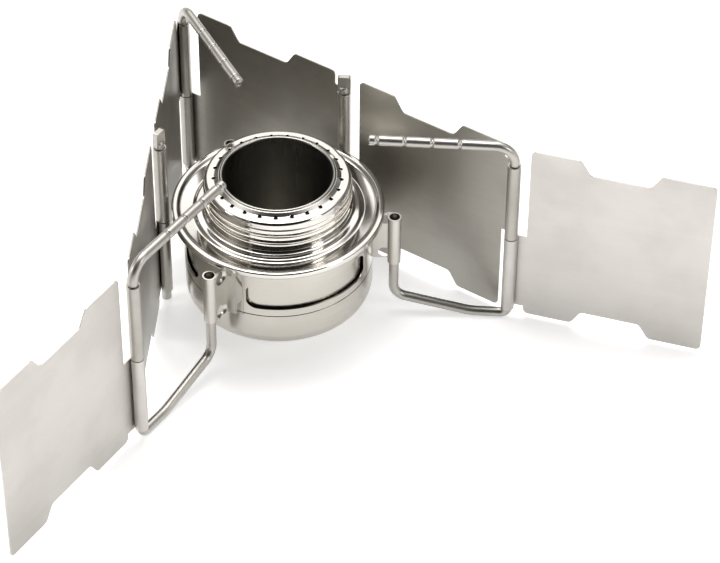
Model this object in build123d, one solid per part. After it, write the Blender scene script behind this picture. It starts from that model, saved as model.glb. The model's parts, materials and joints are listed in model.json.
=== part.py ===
"""Folding spirit burner stove: a burner in a holder cup, three wire legs that swing
on rolled brackets, and a windscreen of six hinged sheets rolled round the leg posts
and round two loose hinge pins.

Millimetres. The origin is the centre of the holder cup's underside, +Z is up, and
+X is the right-hand leg. The legs stand at 0, 120 and 240 degrees.
"""

from build123d import *
import math
import os

# ---- leg layout -------------------------------------------------------------
COLLAR_CLEARANCE = 1.15   # burner collar to the brackets and knuckles that it lifts out between
FOOT_DROP = 9.4         # ground to the underside of the holder cup
ARM_LENGTH = 50.0       # pot-support arm, post to tip
WIRE_D = 3.5
FOOT_RISE = 6.4         # height gained by the foot bar's sloping stretch
FOOT_FLAT = 12.96       # flat stretch of the foot bar before the post
PIVOT_BEND_R = 5.5
KINK_BEND_R = 22.0
FOOT_BEND_R = 2.6
ARM_BEND_R = 6.8
BLADE_INSET = 0.3       # flattened upper end of a leg wire, narrower than the wire
BLADE_T = 1.3
BLADE_H = 5.5
GROOVE_FIRST = 3.0
GROOVE_PITCH = 9.4
GROOVE_COUNT = 4
GROOVE_WIDTH = 0.7
GROOVE_DEPTH = 0.22

# ---- sheet and hinges ---------------------------------------------------------
SHEET_T = 0.5
HINGE_GAP = 0.1         # radial running gap between a wire and the sheet rolled round it
KNUCKLE_GAP = 0.4       # end gap between two knuckles on one wire
KNUCKLE_TOP_GAP = 1.2   # knuckle to the start of the arm's bend
KNUCKLE_FOOT_GAP = 0.25
CURL_END = 30.0         # degrees from the sheet at which a curl stops

# ---- windscreen panels -----------------------------------------------------------
PANEL_H = 74.1
PANEL_LIFT = 1.4        # ground to the panels' lower edge
PANEL_REACH = 69.4      # hinge axis to the free edge of an end panel
PANEL_RELIEF = 5.2      # hinge axis to the cut-back edge of a sheet
ARM_GAP = 0.55          # panel top to the underside of an arm
NOTCH_START = 22.5
NOTCH_SLANT = 3.6
NOTCH_FLOOR = 20.8
NOTCH_DEPTH = 5.7
PANEL_CORNER_R = 1.9
END_PANEL_TURN = (-13.0, 1.0)    # open end panels, from their leg's own direction

# ---- hinge pins --------------------------------------------------------------------
PIN_TOP = 7.0           # pin above its upper knuckle
PIN_FOOT = 4.0          # pin below its lower knuckle
PIN_HEAD_W = 4.6        # pin's upper end, hammered flat so that it cannot drop through
PIN_HEAD_T = 1.9
PIN_HEAD_H = 6.2
PIN_HEAD_CORNER_R = 0.8
PIN_HEAD_TURN = {"right": 0.0, "left": 60.0}

# ---- holder cup -----------------------------------------------------------------------
COLLAR_OVERHANG = 4.0   # burner collar past the cup's wall
CUP_WALL = 0.6
CUP_H = 35.9
CUP_CORNER_R = 5.6
WINDOW_RIM = 7.4        # cup rim to the windows' upper edge
WINDOW_H = 10.5
WINDOW_SIDE_TURN = 2.0  # degrees of wall between a bracket's tail and a window
WINDOW_HALF_TURN = 41.25
WINDOW_CORNER_R = 3.2
STEP_DROP = 3.0         # windows' lower edge to the pressed line
STEP_DEPTH = 0.2
STEP_WIDTH = 0.5

# ---- brackets ---------------------------------------------------------------------------
BRACKET_TOP_GAP = 1.5   # cup rim to the brackets' upper end
BRACKET_H = 20.3
WELD_GAP = 0.03         # bracket tails to the cup wall
OUTER_TAIL_TURN = 9.5
INNER_TAIL_TURN = 13.5
TAIL_POINT_H = 5.6
TAIL_SHOULDER = 3.9
DIMPLE_DEPTH = 0.12
DIMPLE_BALL_R = 3.2
DIMPLE_INSET = 2.6

# ---- burner ------------------------------------------------------------------------------------
BORE_R = 18.9
INNER_WALL = 0.5
LIP_R = 0.62            # half the width of the bore's rolled lip
LIP_RISE = 0.4          # jet ring's inner edge to the top of the lip
BODY_GAP = 0.6          # burner body to the holder's wall
BODY_LIFT = 1.2         # holder's floor to the burner body
BODY_WALL = 0.5
BODY_CORNER_R = 4.0
THREAD_HEIGHT = 0.85
THREAD_PITCH = 3.05
THREAD_TURNS = 4
THREAD_SINK = 0.4       # lowest ridge's foot below the collar's dish
NECK_LAND_H = 2.0       # plain neck above the thread
TOP_WALL = 0.5
JET_CONE_W = 1.81       # sloping ring between the lip and the jets
JET_CONE_RISE = 1.1
JET_LAND_W = 3.3        # jets to the neck's outer face
JET_COUNT = 25
JET_D = 1.3
SHOULDER_R = 1.1
COLLAR_STEP_W = 3.7     # neck to the step in the collar
COLLAR_DISH_W = 5.0     # step to the foot of the collar's rim
COLLAR_LIP_H = 1.5
FUEL_HOLE_D = 3.0
FUEL_HOLES = 4
SEAM_GAP = 0.05         # between burner pieces that are pressed together
WICK_GAP = 0.4          # wick to the inside of the neck
WICK_RISE = 6.0         # wick above the collar's dish

# ---- derived values ----------------------------------------------------------------------------
WIRE_R = WIRE_D / 2
KNUCKLE_INNER = WIRE_R + HINGE_GAP
KNUCKLE_OUTER = KNUCKLE_INNER + SHEET_T
LIP_OUTER_R = BORE_R + 2 * LIP_R + SEAM_GAP
JET_CONE_R = LIP_OUTER_R + JET_CONE_W
NECK_R = JET_CONE_R + JET_LAND_W
COLLAR_STEP_R = NECK_R + COLLAR_STEP_W
COLLAR_RIM_R = COLLAR_STEP_R + COLLAR_DISH_W
COLLAR_R = COLLAR_RIM_R + 2 * COLLAR_LIP_H
CUP_R = COLLAR_R - COLLAR_OVERHANG
BODY_R = CUP_R - CUP_WALL - BODY_GAP
PIVOT_R = COLLAR_R + COLLAR_CLEARANCE + KNUCKLE_OUTER
POST_R = 2 * PIVOT_R    # leg as long as its pivot is far out, so that the windscreen folds
PITCH = POST_R * math.sqrt(3) / 2
GROUND_Z = -FOOT_DROP
FOOT_Z = GROUND_Z + WIRE_R
PANEL_BOTTOM = GROUND_Z + PANEL_LIFT
PANEL_TOP = PANEL_BOTTOM + PANEL_H
ARM_Z = PANEL_TOP + ARM_GAP + WIRE_R
KNUCKLE_BOTTOM = FOOT_Z + FOOT_BEND_R + KNUCKLE_FOOT_GAP
KNUCKLE_TOP = ARM_Z - ARM_BEND_R - KNUCKLE_TOP_GAP
KNUCKLE_H = (KNUCKLE_TOP - KNUCKLE_BOTTOM - KNUCKLE_GAP) / 2
WINDOW_FLOOR = CUP_H - WINDOW_RIM - WINDOW_H
WINDOW_TURN = INNER_TAIL_TURN + WINDOW_SIDE_TURN + WINDOW_HALF_TURN
STEP_Z = WINDOW_FLOOR - STEP_DROP
BRACKET_TOP = CUP_H - BRACKET_TOP_GAP
BRACKET_FLOOR = BRACKET_TOP - BRACKET_H
BODY_FLOOR = CUP_WALL + BODY_LIFT
COLLAR_UNDER = CUP_H
COLLAR_Z = COLLAR_UNDER + TOP_WALL
THREAD_TOP = COLLAR_Z + THREAD_TURNS * THREAD_PITCH - THREAD_SINK
JET_RING_Z = THREAD_TOP + NECK_LAND_H
INNER_WALL_TOP = JET_RING_Z + JET_CONE_RISE + LIP_RISE
LEGS = {"right": 0.0, "back": 120.0, "front": 240.0}


def polar(radius, degrees):
    """Point at a radius and an angle in the ground plane."""
    angle = math.radians(degrees)
    return (radius * math.cos(angle), radius * math.sin(angle))


def tube(outer_r, inner_r, bottom, top):
    """Upright ring between two heights."""
    ring = Circle(outer_r) - Circle(inner_r)
    return Pos(0, 0, bottom) * extrude(ring, amount=top - bottom)


def revolved(outline):
    """Solid of revolution about the stove axis from (radius, height) points."""
    face = make_face(Plane.XZ * Polyline(*outline, close=True))
    return revolve(face, axis=Axis.Z)


# ---- legs ----------------------------------------------------------------------------------------
def leg_wire():
    """One bent wire: blade in the bracket, foot bar, post and grooved pot-support arm."""
    blade_z = BRACKET_TOP - SHEET_T - BLADE_H / 2
    points = [
        (PIVOT_R, 0, blade_z),
        (PIVOT_R, 0, FOOT_Z + FOOT_RISE),
        (POST_R - FOOT_FLAT, 0, FOOT_Z),
        (POST_R, 0, FOOT_Z),
        (POST_R, 0, ARM_Z),
        (POST_R - ARM_LENGTH, 0, ARM_Z),
    ]
    bends = [PIVOT_BEND_R, KINK_BEND_R, FOOT_BEND_R, ARM_BEND_R]
    path = FilletPolyline(*points, radius=bends)
    section = Plane(path @ 0, z_dir=path % 0) * Circle(WIRE_R)
    wire = sweep(section, path)
    blade = Pos(PIVOT_R, 0, blade_z) * Box(WIRE_D - 2 * BLADE_INSET, BLADE_T, BLADE_H)
    wire = wire + blade
    for number in range(GROOVE_COUNT):
        x = POST_R - ARM_LENGTH + GROOVE_FIRST + number * GROOVE_PITCH
        ring = extrude(Circle(WIRE_D) - Circle(WIRE_R - GROOVE_DEPTH), GROOVE_WIDTH / 2, both=True)
        wire = wire - Pos(x, 0, ARM_Z) * Rot(0, 90, 0) * ring
    return wire


# ---- windscreen -------------------------------------------------------------------------------------
def rolled_edge(upper):
    """Half-height knuckle round the Z axis with its root strip, the sheet on the +Y side."""
    reach = 2 * KNUCKLE_OUTER
    far = polar(reach, CURL_END)
    opening = Polygon((0, 0), far, (reach, reach), (0, reach), align=None)
    curl = Circle(KNUCKLE_OUTER) - Circle(KNUCKLE_INNER) - opening
    root_length = PANEL_RELIEF + PANEL_CORNER_R
    root = Pos(root_length / 2, KNUCKLE_OUTER - SHEET_T / 2) * Rectangle(root_length, SHEET_T)
    bottom = KNUCKLE_TOP - KNUCKLE_H if upper else KNUCKLE_BOTTOM
    return Pos(0, 0, bottom) * extrude(curl + root, amount=KNUCKLE_H)


def panel_outline(length):
    """Sheet outline in (distance from the hinge, height) with a shallow notch top and bottom."""
    a = NOTCH_START
    b = a + NOTCH_SLANT
    c = b + NOTCH_FLOOR
    d = c + NOTCH_SLANT
    low = PANEL_BOTTOM
    high = PANEL_TOP
    bottom = [(PANEL_RELIEF, low), (a, low), (b, low + NOTCH_DEPTH), (c, low + NOTCH_DEPTH), (d, low)]
    top = [(d, high), (c, high - NOTCH_DEPTH), (b, high - NOTCH_DEPTH), (a, high), (PANEL_RELIEF, high)]
    sheet = Polygon(*bottom, (length, low), (length, high), *top, align=None)
    return fillet(sheet.vertices(), PANEL_CORNER_R)


def panel(near_upper, far_upper=None):
    """Panel along +X from a hinge on the Z axis, with its sheet on the +Y side.

    near_upper and far_upper say whether the knuckle at that end is the upper one. A
    panel with no far knuckle ends in a free edge.
    """
    has_far = far_upper is not None
    length = PITCH - PANEL_RELIEF if has_far else PANEL_REACH
    sheet = Pos(0, KNUCKLE_OUTER, 0) * extrude(Plane.XZ * panel_outline(length), amount=SHEET_T)
    piece = sheet + rolled_edge(near_upper)
    if has_far:
        far = mirror(rolled_edge(far_upper), about=Plane.YZ)
        piece = piece + Pos(PITCH, 0, 0) * far
    return piece


def placed_panel(shape, hinge, direction, flipped):
    """Put a panel on a hinge at (x, y), running in a direction; flipped turns it over."""
    if flipped:
        shape = mirror(shape, about=Plane.XZ)
    return Pos(hinge[0], hinge[1], 0) * Rot(0, 0, direction) * shape


def windscreen():
    """The six panels by name."""
    post = {name: polar(POST_R, angle) for name, angle in LEGS.items()}
    right_end = LEGS["right"] + END_PANEL_TURN[0]
    left_end = LEGS["front"] + END_PANEL_TURN[1]
    right_wall = LEGS["back"] + 30
    left_wall = LEGS["front"] + 30
    pin = {"right": polar(POST_R / 2, 60), "left": polar(POST_R / 2, 180)}
    return {
        "panel_right_end": placed_panel(panel(False), post["right"], right_end, False),
        "panel_right_front": placed_panel(panel(True, False), post["right"], right_wall, True),
        "panel_right_back": placed_panel(panel(True, False), pin["right"], right_wall, True),
        "panel_left_back": placed_panel(panel(True, True), post["back"], left_wall, True),
        "panel_left_front": placed_panel(panel(False, True), pin["left"], left_wall, True),
        "panel_left_end": placed_panel(panel(False), post["front"], left_end, True),
    }


def hinge_pin():
    """Loose wire pin on the Z axis with a flattened head above the knuckles."""
    head_floor = KNUCKLE_TOP + PIN_TOP - PIN_HEAD_H
    bottom = KNUCKLE_BOTTOM - PIN_FOOT
    shank = Pos(0, 0, bottom) * extrude(Circle(WIRE_R), amount=head_floor + PIN_HEAD_T - bottom)
    shank = fillet(shank.edges().sort_by(Axis.Z)[-1], WIRE_R / 2)
    blade = Plane.XZ * RectangleRounded(PIN_HEAD_W, PIN_HEAD_H, PIN_HEAD_CORNER_R)
    head = extrude(blade, PIN_HEAD_T / 2, both=True)
    return shank + Pos(0, 0, head_floor + PIN_HEAD_H / 2) * head


# ---- holder cup and brackets ---------------------------------------------------------------------------
def cup_blank(radius, height, corner_r):
    """Cylinder with a rounded lower edge."""
    blank = Cylinder(radius, height, align=(Align.CENTER, Align.CENTER, Align.MIN))
    return fillet(blank.edges().sort_by(Axis.Z)[0], corner_r)


def holder_cup():
    """Drawn cup with a pressed line and a window between each pair of brackets."""
    outside = cup_blank(CUP_R, CUP_H, CUP_CORNER_R)
    inside = Pos(0, 0, CUP_WALL) * cup_blank(CUP_R - CUP_WALL, CUP_H, CUP_CORNER_R - CUP_WALL)
    cup = outside - inside
    line_low = STEP_Z - STEP_WIDTH / 2
    cup = cup - tube(CUP_R + STEP_WIDTH, CUP_R - STEP_DEPTH, line_low, line_low + STEP_WIDTH)
    width = 2 * CUP_R * math.sin(math.radians(WINDOW_HALF_TURN))
    opening = RectangleRounded(width, WINDOW_H, WINDOW_CORNER_R)
    cutter = extrude(Plane.YZ * opening, amount=2 * CUP_R)
    for angle in LEGS.values():
        cup = cup - Rot(0, 0, angle + WINDOW_TURN) * Pos(0, 0, WINDOW_FLOOR + WINDOW_H / 2) * cutter
    return cup


def wall_strip(inner_r, turn):
    """Plan of a strip that lies along the cup wall from the bracket's root to an angle."""
    start = math.degrees(math.asin((KNUCKLE_OUTER - 2 * SHEET_T) / inner_r))
    ring = Circle(inner_r + SHEET_T) - Circle(inner_r)
    reach = 2 * CUP_R
    wedge = Polygon((0, 0), polar(reach, start), polar(reach, turn), align=None)
    return ring & wedge


def leg_bracket():
    """Strip folded round a leg wire, its two tails laid on each other and on the cup wall."""
    wall_r = CUP_R + WELD_GAP
    inner = wall_strip(wall_r, INNER_TAIL_TURN)
    outer = wall_strip(wall_r + SHEET_T, OUTER_TAIL_TURN)
    neck_y = KNUCKLE_OUTER - SHEET_T
    neck_x = math.sqrt(wall_r ** 2 - KNUCKLE_OUTER ** 2) + SHEET_T / 2
    neck = Pos((neck_x + PIVOT_R) / 2, neck_y) * Rectangle(PIVOT_R - neck_x, 2 * SHEET_T)
    eye = Pos(PIVOT_R, 0) * Circle(KNUCKLE_OUTER)
    hole = Pos(PIVOT_R, 0) * Circle(KNUCKLE_INNER)
    strip = extrude(outer + neck + eye - hole, amount=BRACKET_H)
    tail = extrude(inner, amount=BRACKET_H) - tail_corners()
    bracket = Pos(0, 0, BRACKET_FLOOR) * (strip + tail)
    ball_r = wall_r + 2 * SHEET_T + DIMPLE_BALL_R - DIMPLE_DEPTH
    dimple_turn = OUTER_TAIL_TURN * 0.62
    for z in (BRACKET_FLOOR + DIMPLE_INSET, BRACKET_TOP - DIMPLE_INSET):
        x, y = polar(ball_r, dimple_turn)
        bracket = bracket - Pos(x, y, z) * Sphere(DIMPLE_BALL_R)
    return bracket


def tail_corners():
    """The two corners cut off the inner tail so that it ends in a blunt point."""
    turn = math.radians(INNER_TAIL_TURN - OUTER_TAIL_TURN)
    length = CUP_R * turn
    rise = (BRACKET_H - TAIL_POINT_H) / 2
    corner = Polygon((0, 0), (length, 0), (length, rise), (0, TAIL_SHOULDER), align=None)
    cut = Pos(0, CUP_R / 4, 0) * extrude(Plane.XZ * corner, amount=CUP_R / 2)
    x, y = polar(CUP_R, OUTER_TAIL_TURN)
    low = Pos(x, y, 0) * Rot(0, 0, 90 + (OUTER_TAIL_TURN + INNER_TAIL_TURN) / 2) * cut
    high = Pos(0, 0, BRACKET_H) * mirror(low, about=Plane.XY)
    return low + high


# ---- burner parts ------------------------------------------------------------------------------
def burner_cup():
    """Fuel body that hangs inside the holder."""
    height = COLLAR_UNDER - SEAM_GAP - BODY_FLOOR
    outside = cup_blank(BODY_R, height, BODY_CORNER_R)
    inside = Pos(0, 0, BODY_WALL) * cup_blank(BODY_R - BODY_WALL, height, BODY_CORNER_R - BODY_WALL)
    return Pos(0, 0, BODY_FLOOR) * (outside - inside)


def thread_ridges():
    """Rolled thread as rings, each a rounded ridge on the neck."""
    half = THREAD_PITCH / 2
    ridges = []
    for number in range(THREAD_TURNS):
        z = THREAD_TOP - half - number * THREAD_PITCH
        root = NECK_R - TOP_WALL / 2
        crest = ThreePointArc((root, z - half), (NECK_R + THREAD_HEIGHT, z), (root, z + half))
        face = make_face(Plane.XZ * (crest + Line(crest @ 1, crest @ 0)))
        ridges.append(revolve(face, axis=Axis.Z))
    return ridges


def burner_top():
    """Jet ring, threaded neck and dished collar, drawn from one sheet."""
    cone_top = JET_RING_Z + JET_CONE_RISE
    neck_in = NECK_R - TOP_WALL
    top = [(LIP_OUTER_R, cone_top), (JET_CONE_R, JET_RING_Z), (NECK_R - SHOULDER_R, JET_RING_Z)]
    neck = [(NECK_R, JET_RING_Z - SHOULDER_R), (NECK_R, COLLAR_Z + 2 * TOP_WALL)]
    step = [(COLLAR_STEP_R - TOP_WALL, COLLAR_Z + TOP_WALL), (COLLAR_STEP_R, COLLAR_Z)]
    dish = step + [(COLLAR_RIM_R, COLLAR_Z)]
    rim = [(COLLAR_R - COLLAR_LIP_H, COLLAR_Z + COLLAR_LIP_H), (COLLAR_R, COLLAR_Z + COLLAR_LIP_H / 2)]
    edge = [(COLLAR_R, COLLAR_UNDER), (COLLAR_R - TOP_WALL, COLLAR_UNDER)]
    under_rim = [(COLLAR_R - TOP_WALL, COLLAR_Z + TOP_WALL / 2), (COLLAR_RIM_R + TOP_WALL, COLLAR_UNDER)]
    under_neck = [(neck_in, COLLAR_UNDER), (neck_in, JET_RING_Z - SHOULDER_R)]
    cone_under = (JET_CONE_R, JET_RING_Z - TOP_WALL)
    shoulder_under = (neck_in - TOP_WALL, JET_RING_Z - TOP_WALL)
    under_top = [shoulder_under, cone_under, (LIP_OUTER_R, cone_top - TOP_WALL)]
    piece = revolved(top + neck + dish + rim + edge + under_rim + under_neck + under_top)
    for ridge in thread_ridges():
        piece = piece + ridge
    piece = piece - tube(neck_in, NECK_R / 2, COLLAR_UNDER, JET_RING_Z - SHOULDER_R)
    jet = Pos(JET_CONE_R, 0, JET_RING_Z) * Cylinder(JET_D / 2, 6 * TOP_WALL)
    for number in range(JET_COUNT):
        piece = piece - Rot(0, 0, number * 360 / JET_COUNT) * jet
    return piece


def burner_inner_wall():
    """Open bore tube with a rolled lip at its mouth and fuel holes at its foot."""
    bottom = BODY_FLOOR + BODY_WALL + SEAM_GAP
    lip_z = INNER_WALL_TOP - LIP_R
    wall = tube(BORE_R + INNER_WALL, BORE_R, bottom, lip_z)
    wall = wall + Pos(0, 0, lip_z) * Torus(BORE_R + LIP_R, LIP_R)
    hole = Rot(0, 90, 0) * Cylinder(FUEL_HOLE_D / 2, BORE_R, align=(Align.CENTER, Align.CENTER, Align.MIN))
    hole = Pos(BORE_R / 2, 0, bottom + FUEL_HOLE_D) * hole
    for number in range(FUEL_HOLES):
        wall = wall - Rot(0, 0, number * 360 / FUEL_HOLES) * hole
    return wall


def burner_wick():
    """Absorbent ring packed between the bore tube and the fuel body."""
    inner = BORE_R + INNER_WALL + SEAM_GAP
    bottom = BODY_FLOOR + BODY_WALL + SEAM_GAP
    outer = NECK_R - TOP_WALL - WICK_GAP
    return tube(outer, inner, bottom, COLLAR_Z + WICK_RISE)


def build_nodes():
    """Every node's solid by name."""
    nodes = {"holder_cup": holder_cup(), "burner_cup": burner_cup(), "burner_top": burner_top()}
    nodes["burner_inner_wall"] = burner_inner_wall()
    nodes["burner_wick"] = burner_wick()
    bracket = leg_bracket()
    wire = leg_wire()
    for name, angle in LEGS.items():
        nodes["leg_bracket_" + name] = Rot(0, 0, angle) * bracket
        nodes["leg_wire_" + name] = Rot(0, 0, angle) * wire
    nodes.update(windscreen())
    for name, angle in {"right": 60, "left": 180}.items():
        x, y = polar(POST_R / 2, angle)
        nodes["hinge_pin_" + name] = Pos(x, y, 0) * Rot(0, 0, PIN_HEAD_TURN[name]) * hinge_pin()
    return nodes


os.makedirs("parts", exist_ok=True)
for node_name, shape in build_nodes().items():
    export_step(shape, "parts/" + node_name + ".step")
    print(node_name, round(shape.volume, 1))
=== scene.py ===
# %% [markdown]
# # A folding spirit burner stove
# An open burner hangs in a drawn steel cup. Three bent wires are at once feet, hinge
# posts and pot supports, and six thin sheets rolled round those posts make the
# windscreen. All but the wick is stainless steel, so the picture is made of surface finish
# and of what each surface mirrors. Sizes and places come from the frame.

# %% Load the frame
import json
import math

import bmesh
import bpy
import numpy as np
from mathutils import Matrix, Vector


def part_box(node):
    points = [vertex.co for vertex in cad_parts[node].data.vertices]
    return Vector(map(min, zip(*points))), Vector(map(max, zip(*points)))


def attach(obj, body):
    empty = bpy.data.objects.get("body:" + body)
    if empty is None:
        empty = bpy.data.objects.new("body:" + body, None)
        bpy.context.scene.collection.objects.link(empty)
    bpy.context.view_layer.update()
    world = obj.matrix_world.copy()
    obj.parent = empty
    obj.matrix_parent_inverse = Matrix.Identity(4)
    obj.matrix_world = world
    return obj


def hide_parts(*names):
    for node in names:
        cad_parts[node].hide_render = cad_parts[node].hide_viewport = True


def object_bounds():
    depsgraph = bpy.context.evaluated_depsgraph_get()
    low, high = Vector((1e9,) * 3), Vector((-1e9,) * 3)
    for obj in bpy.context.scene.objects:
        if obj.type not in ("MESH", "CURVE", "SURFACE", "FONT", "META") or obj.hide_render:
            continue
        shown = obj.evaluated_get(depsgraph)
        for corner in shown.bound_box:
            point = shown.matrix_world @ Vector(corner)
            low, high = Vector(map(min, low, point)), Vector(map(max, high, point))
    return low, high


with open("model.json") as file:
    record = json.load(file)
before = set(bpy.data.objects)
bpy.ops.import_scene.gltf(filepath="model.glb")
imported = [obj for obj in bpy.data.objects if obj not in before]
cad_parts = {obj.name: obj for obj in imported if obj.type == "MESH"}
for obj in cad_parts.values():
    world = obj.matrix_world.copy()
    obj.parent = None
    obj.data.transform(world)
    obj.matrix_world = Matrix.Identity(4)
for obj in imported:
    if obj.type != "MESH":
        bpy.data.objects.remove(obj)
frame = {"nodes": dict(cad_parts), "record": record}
nodes = frame["nodes"]
record = frame["record"]
cad_low, cad_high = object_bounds()
ground_z = cad_low.z
MM = 0.001
print("nodes", len(nodes), "ground at", round(ground_z, 4), "m")

# %% [markdown]
# ## Camera
# The stove is seen from about a metre away through a long lens, from well above. A
# long lens keeps the uprights nearly parallel. The camera is placed by its angles round
# a point on the stove, which is easier to adjust than a position and a rotation.

# %% Camera
CAMERA_AIM = Vector((0.0229, 0.0073, 0.0))
CAMERA_DISTANCE = 1.068
CAMERA_ELEVATION = 42.15
CAMERA_AZIMUTH = 4.2
CAMERA_ROLL = 0.2


def add_camera():
    """Camera on a sphere round its aim: back = turn(azimuth) * tilt(elevation) * (0, 0, 1)."""
    data = bpy.data.cameras.new("camera")
    data.lens = 150.0
    data.sensor_width = 36.0
    data.shift_x = 0.0203
    data.shift_y = -0.0108
    data.clip_end = 20.0
    camera = bpy.data.objects.new("camera", data)
    turn = Matrix.Rotation(math.radians(CAMERA_AZIMUTH), 4, "Z")
    tilt = Matrix.Rotation(math.radians(90.0 - CAMERA_ELEVATION), 4, "X")
    roll = Matrix.Rotation(math.radians(CAMERA_ROLL), 4, "Z")
    pose = turn @ tilt @ roll
    back = pose @ Vector((0.0, 0.0, 1.0))
    camera.matrix_world = Matrix.Translation(CAMERA_AIM + back * CAMERA_DISTANCE) @ pose
    bpy.context.scene.collection.objects.link(camera)
    bpy.context.scene.camera = camera
    return camera


camera = add_camera()
print("camera at", [round(v, 3) for v in camera.matrix_world.translation])

# %% [markdown]
# ## Light
# Steel shows its surroundings, so the light is built as surroundings: a bright ceiling, a
# pale band near the floor, dimmer walls between them, and one side of the studio left
# dark, where a person would stand. The dark side gives the polished burner its
# near-black bands. Soft boxes add the bright strips.

# %% Studio
CEILING = 1.9
WALL_LIGHT = 0.22
HORIZON = 0.75
DIM_SIDE = Vector((0.054, -0.739, 0.671))
DIM_LIGHT = 0.03


def shader_step(tree, value, low, high, to_low, to_high):
    """Smooth change from to_low to to_high while value goes from low to high."""
    node = tree.nodes.new("ShaderNodeMapRange")
    node.interpolation_type = "SMOOTHSTEP"
    tree.links.new(value, node.inputs["Value"])
    for label, number in (("From Min", low), ("From Max", high), ("To Min", to_low), ("To Max", to_high)):
        node.inputs[label].default_value = number
    return node.outputs["Result"]


def maths(tree, operation, *values, clamp=False):
    """Math node whose inputs are links or numbers; returns its output."""
    node = tree.nodes.new("ShaderNodeMath")
    node.operation = operation
    node.use_clamp = clamp
    for socket, value in zip(node.inputs, values):
        if isinstance(value, (int, float)):
            socket.default_value = value
        else:
            tree.links.new(value, socket)
    return node.outputs[0]


def add_world():
    """Sky = (wall + ceiling by height + horizon band by height) * dim by angle to the dim side."""
    world = bpy.data.worlds.new("studio")
    world.use_nodes = True
    tree = world.node_tree
    tree.nodes.clear()
    coords = tree.nodes.new("ShaderNodeTexCoord").outputs["Generated"]
    split = tree.nodes.new("ShaderNodeSeparateXYZ")
    tree.links.new(coords, split.inputs[0])
    top = shader_step(tree, split.outputs["Z"], 0.60, 0.92, 0.0, CEILING)
    band = shader_step(tree, split.outputs["Z"], 0.05, 0.50, HORIZON, 0.0)
    sky = maths(tree, "ADD", maths(tree, "ADD", top, band), WALL_LIGHT)
    facing = tree.nodes.new("ShaderNodeVectorMath")
    facing.operation = "DOT_PRODUCT"
    facing.inputs[1].default_value = DIM_SIDE.normalized()
    tree.links.new(coords, facing.inputs[0])
    dim = shader_step(tree, facing.outputs["Value"], 0.42, 0.86, 1.0, DIM_LIGHT)
    background = tree.nodes.new("ShaderNodeBackground")
    background.inputs["Color"].default_value = (1.0, 0.985, 0.965, 1.0)
    tree.links.new(maths(tree, "MULTIPLY", sky, dim), background.inputs["Strength"])
    output = tree.nodes.new("ShaderNodeOutputWorld")
    tree.links.new(background.outputs["Background"], output.inputs["Surface"])
    bpy.context.scene.world = world


def add_softbox(name, place, size, power, height=None):
    """Area light that faces the stove; square unless a height is given."""
    data = bpy.data.lights.new(name, "AREA")
    data.shape = "RECTANGLE"
    data.size = size
    data.size_y = height or size
    data.energy = power
    data.color = (1.0, 0.985, 0.96)
    lamp = bpy.data.objects.new(name, data)
    lamp.location = place
    lamp.rotation_mode = "QUATERNION"
    lamp.rotation_quaternion = Vector(place).to_track_quat("Z", "Y")
    bpy.context.scene.collection.objects.link(lamp)


add_world()
add_softbox("softbox_top", (-0.1, 0.45, 1.5), 1.0, 14.0)
add_softbox("strip_back", (-0.07, 1.0, 0.9), 1.2, 1.7, height=0.34)
add_softbox("softbox_left", (-1.2, -0.3, 0.55), 0.45, 4.0)
add_softbox("softbox_right", (1.1, -0.55, 0.75), 0.35, 3.5)
bpy.context.scene.view_settings.view_transform = "Standard"

# %% [markdown]
# ## Floor
# The stove stands on one pale sheet that runs past the picture on all sides. A little
# glow of its own keeps it near white, as lit paper is, while shadows still show on it.
# Fully glowing paper would wash the contact shadows out.

# %% Floor
FLOOR_HALF = 3.0
FLOOR_GLOW = 0.50


def add_floor():
    """One pale quad that reaches far past the picture, glowing a little like lit paper."""
    mesh = bpy.data.meshes.new("floor")
    h = FLOOR_HALF
    corners = [(-h, -h, ground_z), (h, -h, ground_z), (h, h, ground_z), (-h, h, ground_z)]
    mesh.from_pydata(corners, [], [(0, 1, 2, 3)])
    floor = bpy.data.objects.new("floor", mesh)
    bpy.context.scene.collection.objects.link(floor)
    paper = bpy.data.materials.new("floor_paper")
    paper.use_nodes = True
    surface = paper.node_tree.nodes["Principled BSDF"]
    surface.inputs["Base Color"].default_value = (0.88, 0.88, 0.88, 1.0)
    surface.inputs["Roughness"].default_value = 0.9
    surface.inputs["Specular IOR Level"].default_value = 0.0
    surface.inputs["Emission Color"].default_value = (1.0, 1.0, 1.0, 1.0)
    surface.inputs["Emission Strength"].default_value = FLOOR_GLOW
    mesh.materials.append(paper)
    return floor


floor = add_floor()
print("floor at", round(ground_z, 4))

# %% [markdown]
# ## Surfaces from grids
# Every new piece is a grid of points worked out with numpy: rows run along the piece,
# columns run round it. One helper joins the points with quads, so each piece only has to
# say where its points are. Its signed volume tells whether the faces point outwards.

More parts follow.
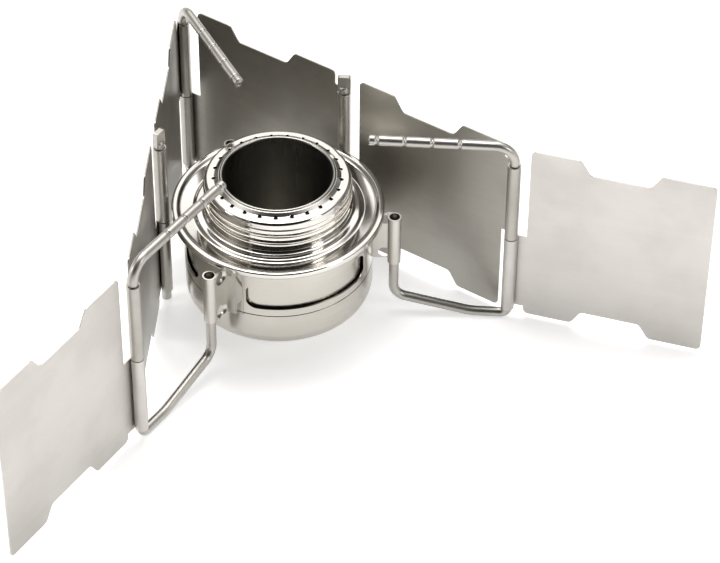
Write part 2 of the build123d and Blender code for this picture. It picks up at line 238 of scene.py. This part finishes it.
# %% Grid to mesh
def surface(name, points, wrap_rows=False):
    """Quad (i, j) joins points (i, j), (i+1, j), (i+1, j+1), (i, j+1); columns always close."""
    rows, columns = points.shape[:2]
    i = np.arange(rows if wrap_rows else rows - 1)[:, None]
    j = np.arange(columns)[None, :]
    below, beside = (i + 1) % rows, (j + 1) % columns
    corners = (i * columns + j, below * columns + j, below * columns + beside, i * columns + beside)
    quads = np.stack(np.broadcast_arrays(*corners), axis=-1).reshape(-1, 4)
    flat = points.reshape(-1, 3)
    a, b, c, d = (flat[quads[:, k]] for k in range(4))
    volume = np.einsum("ij,ij->i", a, np.cross(b, c) + np.cross(c, d)).sum() / 6
    if volume < 0:
        quads = quads[:, ::-1]
    mesh = bpy.data.meshes.new(name)
    mesh.from_pydata(flat.tolist(), [], quads.tolist())
    close_poles(mesh)
    mesh.polygons.foreach_set("use_smooth", np.ones(len(mesh.polygons), bool))
    piece = bpy.data.objects.new(name, mesh)
    bpy.context.scene.collection.objects.link(piece)
    print(name, "faces", len(mesh.polygons), "volume mm3", round(abs(volume) / MM ** 3, 1))
    return piece


def close_poles(mesh):
    """Join points that lie in one place, such as the end of a wire."""
    shell = bmesh.new()
    shell.from_mesh(mesh)
    bmesh.ops.remove_doubles(shell, verts=shell.verts, dist=1e-7)
    shell.to_mesh(mesh)
    shell.free()


def rounded_path(corners, radii, step):
    """Polyline with a circular arc at each inner corner, resampled at an even step.

    An arc of radius r touches both legs r * tan(turn / 2) from the corner.
    """
    corners = [np.array(c, float) for c in corners]
    track = [corners[0]]
    for before, at, after, r in zip(corners, corners[1:], corners[2:], radii):
        into = (at - before) / np.linalg.norm(at - before)
        out = (after - at) / np.linalg.norm(after - at)
        turn = math.acos(float(np.clip(into @ out, -1, 1)))
        reach = r * math.tan(turn / 2)
        normal = (out - into * math.cos(turn)) / math.sin(turn)
        angle = np.linspace(0, turn, 17)[:, None]
        track += list(at - into * reach + r * (into * np.sin(angle) + normal * (1 - np.cos(angle))))
    track = np.array(track + [corners[-1]])
    length = np.r_[0, np.cumsum(np.linalg.norm(np.diff(track, axis=0), axis=1))]
    even = np.linspace(0, length[-1], int(round(length[-1] / step)) + 1)
    return np.stack([np.interp(even, length, track[:, k]) for k in range(track.shape[1])], axis=-1)


def smooth(x):
    """Smooth step: 3x^2 - 2x^3 between 0 and 1."""
    x = np.clip(x, 0, 1)
    return x * x * (3 - 2 * x)


# %% [markdown]
# ## Leg wires
# Each leg is one length of hard wire: flattened where it hangs in its bracket, bent
# along the ground, up through the windscreen's knuckles, and inwards as a pot support
# with grooves that stop a pan from sliding. A tube carried along a path is the natural
# way, with a radius that varies along the path for the blade, the grooves and the ends.
# The hidden end stops about 2 mm lower in its bracket than the frame's wire does, so
# that the rolled bracket's mouth looks open.

# %% Leg wires
WIRE_R = 1.75 * MM
BLADE_H = 5.5 * MM
BLADE_HALF = (1.45 * MM, 0.65 * MM)
GROOVE_FIRST = 3.0 * MM
GROOVE_PITCH = 9.4 * MM
GROOVE_COUNT = 4
FOOT_RISE = 6.4 * MM
FOOT_FLAT = 12.96 * MM
BEND_RADII = (5.5 * MM, 22 * MM, 2.6 * MM, 6.8 * MM)
BLADE_BLEND = 2.5 * MM
GROOVE_DEPTH = 0.45 * MM
GROOVE_HALF = 0.8 * MM
END_ROUNDING = 0.6 * MM
TIP_INSET = 2.4 * MM
PATH_STEP = 0.25 * MM
WIRE_SIDES = 36
hinges = {j["name"]: j for j in record["behaviour"]["joints"]}
pivot_r = hinges["leg_right_swing"]["pos_m"][0]
post_r = hinges["panel_right_end_hinge"]["pos_m"][0]


def wire_points():
    """Point (s, a) = centre(s) + across(s) * wide * cos a + sideways * thin * sin a."""
    low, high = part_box("leg_wire_right")
    tip_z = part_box("leg_bracket_right")[1].z - TIP_INSET
    foot_z, arm_z = low.z + WIRE_R, high.z - WIRE_R
    corners = [(pivot_r, tip_z), (pivot_r, foot_z + FOOT_RISE), (post_r - FOOT_FLAT, foot_z)]
    corners += [(post_r, foot_z), (post_r, arm_z), (low.x, arm_z)]
    centre = rounded_path(corners, BEND_RADII, PATH_STEP)
    ahead = np.gradient(centre, axis=0)
    ahead /= np.linalg.norm(ahead, axis=1)[:, None]
    across = np.stack([-ahead[:, 1], ahead[:, 0]], axis=-1)
    run = np.linspace(0, len(centre) * PATH_STEP, len(centre))
    to_tip = run[-1] - run
    flat = 1 - smooth((run - BLADE_H) / BLADE_BLEND)
    wide = WIRE_R + (BLADE_HALF[0] - WIRE_R) * flat
    thin = WIRE_R + (BLADE_HALF[1] - WIRE_R) * flat
    number = np.clip(np.round((to_tip - GROOVE_FIRST) / GROOVE_PITCH), 0, GROOVE_COUNT - 1)
    off_groove = np.abs(to_tip - GROOVE_FIRST - number * GROOVE_PITCH)
    groove = GROOVE_DEPTH * (1 - smooth(off_groove / GROOVE_HALF))
    end = np.sqrt(np.clip(1 - (1 - np.minimum(run, to_tip) / END_ROUNDING).clip(0) ** 2, 0, 1))
    wide, thin = (wide - groove) * (0.55 * end + 0.45), (thin - groove) * (0.55 * end + 0.45)
    wide[[0, -1]] = 0
    thin[[0, -1]] = 0
    angle = np.linspace(0, 2 * math.pi, WIRE_SIDES, endpoint=False)[None, :]
    flat_part = across[:, None, :] * (wide[:, None] * np.cos(angle))[..., None]
    plan = centre[:, None, :] + flat_part
    side = thin[:, None] * np.sin(angle)
    return np.stack([plan[..., 0], side, plan[..., 1]], axis=-1)


def turned(points, degrees):
    """The same points turned about the stove's axis."""
    c, s = math.cos(math.radians(degrees)), math.sin(math.radians(degrees))
    return points @ np.array([[c, s, 0], [-s, c, 0], [0, 0, 1]])


made = {}
for side, degrees in {"right": 0, "back": 120, "front": 240}.items():
    made["leg_wire_" + side] = surface("wire_" + side, turned(wire_points(), degrees))

# %% [markdown]
# ## Burner top
# The jet ring, threaded neck and dished collar are spun from one sheet. A spun piece is
# a profile carried round the axis. The thread is a helix, so it is not the same all the
# way round: the profile is pushed out by a ridge whose height above the collar depends
# on the angle. Each jet is a well nearly as deep as the wall, cut with a hard edge and
# coloured near-black inside as painted shade of a hole, so it reads as a hole while the
# shell stays closed. The ridge is lower than the frame's rings, and the dish slopes where
# the frame's is flat.

# %% Burner top
COLUMNS = 600
JET_COUNT = 25
JET_R = 0.65 * MM
THREAD_PITCH = 3.05 * MM
THREAD_H = 0.5 * MM
WALL = 0.5 * MM
JET_DEPTH = 0.9 * WALL
CROWDING = 0.42
bore_r = next(m for m in record["mounts"] if m["name"] == "burner_mouth")["dims"]["r_mm"] * MM
top_low, top_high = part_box("burner_top")
collar_r, under_z = top_high.x, top_low.z
JET_CIRCLE = bore_r + 3.1 * MM
NECK_R = bore_r + 6.4 * MM
ring_z = top_high.z - 1.1 * MM


def spun_profile():
    """Closed outline in (radius, height): over the jet ring, down the neck, across the
    collar and back underneath, one wall thickness inside."""
    dish_z = under_z + WALL
    inner = bore_r + 1.29 * MM
    over = [(inner, top_high.z), (JET_CIRCLE - 0.1 * MM, ring_z), (NECK_R, ring_z)]
    over += [(NECK_R, dish_z + 0.9 * MM), (NECK_R + 3.2 * MM, dish_z + 0.75 * MM)]
    over += [(NECK_R + 4.3 * MM, dish_z), (collar_r - 3.0 * MM, dish_z + 0.6 * MM)]
    over += [(collar_r - 1.9 * MM, dish_z + 1.5 * MM), (collar_r, dish_z + 1.5 * MM), (collar_r, under_z)]
    bends = [0.9, 1.3, 1.6, 1.1, 1.2, 1.0, 0.7, 0.7]
    outer = rounded_path(over, [b * MM for b in bends], 0.30 * MM)
    near = np.flatnonzero((np.abs(outer[:, 0] - JET_CIRCLE) < 1.1 * MM) & (outer[:, 1] > ring_z - 0.3 * MM))
    rows = np.sort(np.r_[np.arange(len(outer)), near[:-1] + 1 / 3, near[:-1] + 2 / 3])
    outer = np.stack([np.interp(rows, np.arange(len(outer)), outer[:, k]) for k in (0, 1)], axis=-1)
    under = [(collar_r, under_z), (collar_r - WALL, under_z), (collar_r - WALL, dish_z + 0.9 * MM)]
    under += [(collar_r - 1.7 * MM, dish_z + 0.9 * MM), (collar_r - 2.6 * MM, under_z)]
    under += [(NECK_R - WALL, under_z), (NECK_R - WALL, ring_z - WALL), (JET_CIRCLE, ring_z - WALL)]
    under += [(inner, top_high.z - WALL), (inner, top_high.z)]
    inside = rounded_path(under, [0.02 * MM] * 8, 1.0 * MM)
    return np.vstack([outer, inside[1:-1]]), len(outer)


def burner_top_points():
    """Point (i, a) = (r cos a, r sin a, z) with r = profile + thread ridge(z / pitch + a / turn),
    and z = profile - well depth near each jet."""
    profile, outer_rows = spun_profile()
    share = np.arange(COLUMNS) * JET_COUNT / COLUMNS
    from_jet = share - np.round(share)
    warped = np.round(share) + from_jet * (CROWDING + (1 - CROWDING) * (2 * np.abs(from_jet)) ** 1.5)
    angle = (warped * 2 * math.pi / JET_COUNT)[None, :]
    r = np.repeat(profile[:, :1], COLUMNS, axis=1)
    z = np.repeat(profile[:, 1:], COLUMNS, axis=1)
    on_neck = np.abs(r - NECK_R) < 0.02 * MM
    on_neck[outer_rows:] = False
    turn = (z - ring_z) / THREAD_PITCH + angle / (2 * math.pi)
    phase = turn - np.floor(turn)
    ridge = 1 - np.abs(2 * phase - 1) ** 2.2
    start = smooth((ring_z - 1.6 * MM - z) / (1.2 * MM))
    stop = smooth((z - under_z - 1.1 * MM) / (1.2 * MM))
    r = r + THREAD_H * ridge * start * stop * on_neck
    jet = np.round(angle * JET_COUNT / (2 * math.pi)) * 2 * math.pi / JET_COUNT
    off = np.hypot(r - JET_CIRCLE, JET_CIRCLE * (angle - jet))
    top_side = (np.arange(len(profile)) < outer_rows)[:, None] & (z > ring_z - 0.3 * MM)
    z = z - JET_DEPTH * smooth((JET_R - off) / (0.10 * MM)) * top_side
    return np.stack([r * np.cos(angle), r * np.sin(angle), z], axis=-1)


def mark_jets(piece):
    """Faces within a jet's radius of its centre, through the wall's depth, are flat and take slot 1:
    near-black painted shade of the hole, above and below.
    """
    mesh = piece.data
    centres = np.empty(len(mesh.polygons) * 3)
    mesh.polygons.foreach_get("center", centres)
    x, y, z = centres.reshape(-1, 3).T
    spacing = 2 * math.pi / JET_COUNT
    angle = np.arctan2(y, x)
    off = np.hypot(np.hypot(x, y) - JET_CIRCLE, JET_CIRCLE * (angle - np.round(angle / spacing) * spacing))
    hole = (off < 1.02 * JET_R) & (z > ring_z - 1.5 * WALL)
    mesh.polygons.foreach_set("use_smooth", ~hole)
    print("jet faces", int(hole.sum()))
    return hole.astype(np.int32)


made["burner_top"] = surface("spun_top", burner_top_points(), wrap_rows=True)
jet_slots = mark_jets(made["burner_top"])

# %% [markdown]
# ## Wick
# Fuel is held by an absorbent ring packed round the bore. It is hidden while the burner is
# in one piece, so a soft lumpy ring is enough. It shrinks away from its neighbours where
# its lumps dip, and never grows past them.

# %% Wick
WICK_CLEARANCE = 0.55 * MM
WICK_COLUMNS = 180
LUMP_SIDE = 0.10
LUMP_DROP = 0.5 * MM


def wick_points():
    """Ring whose section is a rounded box; lumps = sum of sines of angle, height and side."""
    low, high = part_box("burner_wick")
    inner_r = bore_r + WICK_CLEARANCE
    outline = [(inner_r, low.z), (high.x, low.z), (high.x, high.z), (inner_r, high.z)]
    outline += [(inner_r, low.z + 1e-6)]
    section = rounded_path(outline, [1.2 * MM] * 3, 1.0 * MM)
    angle = np.linspace(0, 2 * math.pi, WICK_COLUMNS, endpoint=False)[None, :]
    r = np.repeat(section[:, :1], WICK_COLUMNS, axis=1)
    z = np.repeat(section[:, 1:], WICK_COLUMNS, axis=1)
    lump = 0.5 + 0.25 * np.sin(31 * angle + z / MM) + 0.25 * np.sin(53 * angle - 0.7 * z / MM)
    middle = (inner_r + high.x) / 2
    r = r + (middle - r) * LUMP_SIDE * lump
    z = z - np.where(z > (low.z + high.z) / 2, LUMP_DROP, 0) * lump
    return np.stack([r * np.cos(angle), r * np.sin(angle), z], axis=-1)


made["burner_wick"] = surface("packed_wick", wick_points(), wrap_rows=True)

# %% [markdown]
# ## Bodies
# Each new piece stands in for one piece of the frame. It moves with the same body, read
# from the record, so no list is kept here. It takes that piece's finish when the pieces are dressed.

# %% Put the new pieces on their bodies
body_of = {n: b for b, members in record["behaviour"]["bodies"].items() for n in members}
for node, piece in made.items():
    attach(piece, body_of[node])
    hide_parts(node)
    print(piece.name, "replaces", node, "on", body_of[node])

# %% [markdown]
# ## Steel finishes
# No two of these steels look the same: the burner is polished, the cup keeps the faint
# rings of its drawing die, the sheets have a rolled satin grain, and the wire is bright
# with lines along it. They share three effects, so each effect is one node group: grain,
# scuffs and smudges. A group takes coordinates, so the same grain can run along a sheet
# or round a cup.

# %% Node helpers
def group(name, inputs, outputs):
    """Empty shader group with float or vector sockets."""
    tree = bpy.data.node_groups.new(name, "ShaderNodeTree")
    for label, kind, value in inputs:
        socket = tree.interface.new_socket(name=label, in_out="INPUT", socket_type=kind)
        if value is not None:
            socket.default_value = value
    for label in outputs:
        tree.interface.new_socket(name=label, in_out="OUTPUT", socket_type="NodeSocketFloat")
    return tree, tree.nodes.new("NodeGroupInput"), tree.nodes.new("NodeGroupOutput")


def scaled(tree, vector, factors):
    """Vector times (x, y, z) factors."""
    node = tree.nodes.new("ShaderNodeVectorMath")
    node.operation = "MULTIPLY"
    tree.links.new(vector, node.inputs[0])
    node.inputs[1].default_value = factors
    return node.outputs[0]


def noise(tree, vector, scale, detail=3.0, rough=0.55):
    """Noise value between about 0 and 1."""
    node = tree.nodes.new("ShaderNodeTexNoise")
    node.inputs["Detail"].default_value = detail
    node.inputs["Roughness"].default_value = rough
    if isinstance(scale, (int, float)):
        node.inputs["Scale"].default_value = scale
    else:
        tree.links.new(scale, node.inputs["Scale"])
    tree.links.new(vector, node.inputs["Vector"])
    return node.outputs["Fac"]


# %% Grain group
VECTOR = "NodeSocketVector"
FLOAT = "NodeSocketFloat"


def make_grain():
    """Grain = fine lines + broader bands of the same stretched noise, about 0 to 1."""
    tree, given, result = group("grain", [("Vector", VECTOR, None), ("Scale", FLOAT, 1.0)], ["Grain"])
    fine = noise(tree, given.outputs["Vector"], given.outputs["Scale"], 5.0, 0.7)
    broad_scale = maths(tree, "MULTIPLY", given.outputs["Scale"], 0.17)
    broad = noise(tree, given.outputs["Vector"], broad_scale, 2.0, 0.5)
    both = maths(tree, "ADD", maths(tree, "MULTIPLY", fine, 0.65), maths(tree, "MULTIPLY", broad, 0.35))
    tree.links.new(both, result.inputs["Grain"])
    return tree


def make_scuffs():
    """Scuffs = thin ridges of two long noises at different slants, kept only in patches."""
    sockets = [("Vector", VECTOR, None), ("Amount", FLOAT, 0.5)]
    tree, given, result = group("scuffs", sockets, ["Scuffs"])
    lines = []
    for slant, stretch in ((0.5, (900, 60, 60)), (2.1, (70, 1100, 70))):
        turn = tree.nodes.new("ShaderNodeVectorRotate")
        turn.rotation_type = "EULER_XYZ"
        turn.inputs["Rotation"].default_value = (slant, slant * 0.7, slant * 1.3)
        tree.links.new(given.outputs["Vector"], turn.inputs["Vector"])
        wave = noise(tree, scaled(tree, turn.outputs[0], stretch), 1.0, 2.0, 0.5)
        off = maths(tree, "ABSOLUTE", maths(tree, "SUBTRACT", wave, 0.5))
        lines.append(shader_step(tree, off, 0.0, 0.012, 1.0, 0.0))
    either = maths(tree, "MAXIMUM", lines[0], lines[1])
    patch = shader_step(tree, noise(tree, given.outputs["Vector"], 55.0, 2.0), 0.5, 0.68, 0.0, 1.0)
    kept = maths(tree, "MULTIPLY", maths(tree, "MULTIPLY", either, patch), given.outputs["Amount"])
    tree.links.new(kept, result.inputs["Scuffs"])
    return tree


def make_smudges():
    """Smudges = soft clouds about a finger wide with finer speckle inside them."""
    tree, given, result = group("smudges", [("Vector", VECTOR, None), ("Scale", FLOAT, 1.0)], ["Smudges"])
    clouds = noise(tree, given.outputs["Vector"], given.outputs["Scale"], 3.0, 0.5)
    cloud = shader_step(tree, clouds, 0.38, 0.66, 0.0, 1.0)
    speck_scale = maths(tree, "MULTIPLY", given.outputs["Scale"], 22.0)
    speck = noise(tree, given.outputs["Vector"], speck_scale, 2.0, 0.6)
    both = maths(tree, "ADD", maths(tree, "MULTIPLY", cloud, 0.7), maths(tree, "MULTIPLY", speck, 0.3))
    tree.links.new(both, result.inputs["Smudges"])
    return tree


groups = {"grain": make_grain(), "scuffs": make_scuffs(), "smudges": make_smudges()}
print("groups", sorted(groups))


# %% [markdown]
# ## Grain that follows the work
# Rolled sheet has lines along one direction, a spun cup has lines round its axis, and a
# drawn bore has lines up its wall. Noise draws all three if its coordinates are squeezed
# in the right way first.

# %% Coordinates that follow the work
def straight(tree, vector, along):
    """Coordinates squeezed along one direction, so that noise draws lines that way."""
    return scaled(tree, vector, along)


def spun(tree, vector, lift):
    """(radius * lift, height * lift, 0) plus a little x, y: lines that run round the axis."""
    flat = scaled(tree, vector, (1.0, 1.0, 0.0))
    length = tree.nodes.new("ShaderNodeVectorMath")
    length.operation = "LENGTH"
    tree.links.new(flat, length.inputs[0])
    split = tree.nodes.new("ShaderNodeSeparateXYZ")
    tree.links.new(vector, split.inputs[0])
    build = tree.nodes.new("ShaderNodeCombineXYZ")
    tree.links.new(maths(tree, "MULTIPLY", length.outputs["Value"], lift), build.inputs["X"])
    tree.links.new(maths(tree, "MULTIPLY", split.outputs["Z"], lift), build.inputs["Y"])
    add = tree.nodes.new("ShaderNodeVectorMath")
    add.operation = "ADD"
    tree.links.new(build.outputs[0], add.inputs[0])
    tree.links.new(flat, add.inputs[1])
    return add.outputs[0]


def upright(tree, vector, lift):
    """Direction round the axis times lift, with height kept small: lines that run up a bore."""
    flat = scaled(tree, vector, (1.0, 1.0, 0.0))
    unit = tree.nodes.new("ShaderNodeVectorMath")
    unit.operation = "NORMALIZE"
    tree.links.new(flat, unit.inputs[0])
    add = tree.nodes.new("ShaderNodeVectorMath")
    add.operation = "ADD"
    tree.links.new(scaled(tree, unit.outputs[0], (lift, lift, 0.0)), add.inputs[0])
    tree.links.new(vector, add.inputs[1])
    return add.outputs[0]


# %% [markdown]
# ## Steel and cotton
# One function makes every steel, because the finishes differ only in how rough they are,
# which way the grain runs and how clean they are. Smudges and fine scratches change the
# roughness more than the colour, as they do on metal.

# %% Steel
GRAIN_SHARE = 0.55
SCUFF_ROUGHNESS = 0.10
SCUFF_DEPTH = 0.6


def use(tree, name, vector, label, value):
    """Put a shader group in a material with its coordinates and one number."""
    node = tree.nodes.new("ShaderNodeGroup")
    node.node_tree = groups[name]
    tree.links.new(vector, node.inputs["Vector"])
    node.inputs[label].default_value = value
    return node.outputs[0]


def steel(name, light, dark, rough, lines, grain, relief, smudge=0.05, scuff=0.4, spread=25.0):
    """Steel whose colour runs from dark to light with smudges and grain.

    rough is the plain roughness and the amount that grain adds; relief is the depth of
    the grain lines in metres.
    """
    material = bpy.data.materials.new(name)
    material.use_nodes = True
    tree = material.node_tree
    shader = tree.nodes["Principled BSDF"]
    place = tree.nodes.new("ShaderNodeTexCoord").outputs["Object"]
    grain_out = use(tree, "grain", lines(tree, place), "Scale", grain)
    smudge_out = use(tree, "smudges", place, "Scale", spread)
    scuff_out = use(tree, "scuffs", place, "Amount", scuff)
    mix = tree.nodes.new("ShaderNodeMix")
    mix.data_type = "RGBA"
    lined = maths(tree, "MULTIPLY", grain_out, GRAIN_SHARE)
    shade = maths(tree, "ADD", lined, maths(tree, "MULTIPLY", smudge_out, 1 - GRAIN_SHARE))
    tree.links.new(shade, mix.inputs["Factor"])
    mix.inputs["A"].default_value = (*light, 1.0)
    mix.inputs["B"].default_value = (*dark, 1.0)
    tree.links.new(mix.outputs["Result"], shader.inputs["Base Color"])
    shader.inputs["Metallic"].default_value = 1.0
    total = maths(tree, "ADD", rough[0], maths(tree, "MULTIPLY", grain_out, rough[1]))
    total = maths(tree, "ADD", total, maths(tree, "MULTIPLY", smudge_out, smudge))
    total = maths(tree, "ADD", total, maths(tree, "MULTIPLY", scuff_out, SCUFF_ROUGHNESS), clamp=True)
    tree.links.new(total, shader.inputs["Roughness"])
    height = maths(tree, "SUBTRACT", grain_out, maths(tree, "MULTIPLY", scuff_out, SCUFF_DEPTH))
    bump = tree.nodes.new("ShaderNodeBump")
    bump.inputs["Strength"].default_value = 1.0
    bump.inputs["Distance"].default_value = relief
    tree.links.new(height, bump.inputs["Height"])
    tree.links.new(bump.outputs["Normal"], shader.inputs["Normal"])
    return material


def cotton(name):
    """Off-white felt with fibre bump."""
    material = bpy.data.materials.new(name)
    material.use_nodes = True
    tree = material.node_tree
    shader = tree.nodes["Principled BSDF"]
    place = tree.nodes.new("ShaderNodeTexCoord").outputs["Object"]
    fibre = use(tree, "grain", straight(tree, place, (1.0, 1.0, 0.3)), "Scale", 1400.0)
    mix = tree.nodes.new("ShaderNodeMix")
    mix.data_type = "RGBA"
    tree.links.new(fibre, mix.inputs["Factor"])
    mix.inputs["A"].default_value = (0.55, 0.51, 0.42, 1.0)
    mix.inputs["B"].default_value = (0.80, 0.77, 0.68, 1.0)
    tree.links.new(mix.outputs["Result"], shader.inputs["Base Color"])
    shader.inputs["Roughness"].default_value = 0.95
    bump = tree.nodes.new("ShaderNodeBump")
    bump.inputs["Distance"].default_value = 0.3 * MM
    tree.links.new(fibre, bump.inputs["Height"])
    tree.links.new(bump.outputs["Normal"], shader.inputs["Normal"])
    return material


finish = {
    "polished": steel("polished_steel", (0.70, 0.68, 0.645), (0.56, 0.54, 0.505), (0.06, 0.05),
                      lambda t, v: spun(t, v, 30.0), 60.0, 0.0004 * MM, smudge=0.03, scuff=0.15),
    "bore": steel("bore_steel", (0.42, 0.41, 0.385), (0.17, 0.165, 0.15), (0.20, 0.14),
                  lambda t, v: upright(t, v, 9.0), 4.0, 0.03 * MM),
    "drawn": steel("drawn_steel", (0.57, 0.545, 0.505), (0.43, 0.41, 0.37), (0.15, 0.10),
                   lambda t, v: spun(t, v, 26.0), 55.0, 0.006 * MM),
    "bracket": steel("bracket_steel", (0.60, 0.58, 0.54), (0.46, 0.44, 0.405), (0.26, 0.10),
                     lambda t, v: straight(t, v, (1.0, 1.0, 0.12)), 1500.0, 0.005 * MM),
    "sheet": steel("satin_sheet", (0.59, 0.57, 0.545), (0.49, 0.47, 0.445), (0.32, 0.12),
                   lambda t, v: straight(t, v, (0.06, 0.06, 1.0)), 1300.0, 0.005 * MM, smudge=0.08,
                   spread=45.0),
    # painted shade: the inner panels' steel is darkened to stand in for the dark surroundings they would
    # mirror
    "inner_sheet_painted_shade": steel("inner_sheet_painted_shade", (0.44, 0.425, 0.39), (0.32, 0.307, 0.278), (0.27, 0.12),
                         lambda t, v: straight(t, v, (0.06, 0.06, 1.0)), 1300.0, 0.005 * MM, smudge=0.10,
                         spread=38.0),
    "wire": steel("bright_wire", (0.50, 0.485, 0.455), (0.36, 0.345, 0.32), (0.29, 0.12),
                  lambda t, v: straight(t, v, (1.0, 1.0, 1.0)), 700.0, 0.004 * MM),
    # painted shade: near-black inside each jet well and under it, standing in for the shade of a hole
    # through the wall
    "jet": steel("jet_painted_shade", (0.03, 0.03, 0.03), (0.01, 0.01, 0.01), (0.75, 0.1),
                 lambda t, v: straight(t, v, (1.0, 1.0, 1.0)), 900.0, 0.002 * MM),
    "cotton": cotton("wick_cotton"),
}
print("finishes", sorted(finish))

# %% [markdown]
# ## Dressing the pieces
# Most finishes follow how a piece was made. The windscreen is an exception: its four
# inner panels are the same sheet as the two end panels, but their colour is darkened as
# painted shade, standing in for the dark surroundings that they would mirror and that the
# plain studio does not give them. From behind, the two tints can be told apart.

# %% Dress
def finish_for(name):
    """Finish of a CAD node or of the piece that replaces it."""
    if name == "burner_wick":
        return "cotton"
    if name == "burner_inner_wall":
        return "bore"
    if name == "burner_top":
        return "polished"
    if name.startswith("panel"):
        return "sheet" if name.endswith("_end") else "inner_sheet_painted_shade"
    if name.startswith("leg_bracket"):
        return "bracket"
    return "drawn" if name.endswith("_cup") else "wire"


def dress(piece, materials):
    """Give a piece its material slots, in order."""
    piece.data.materials.clear()
    for material in materials:
        piece.data.materials.append(material)


for name, node in nodes.items():
    extra = [finish["jet"]] if name == "burner_top" else []
    dress(made.get(name, node), [finish[finish_for(name)], *extra])
made["burner_top"].data.polygons.foreach_set("material_index", jet_slots)
print("dressed", len(nodes), "pieces")
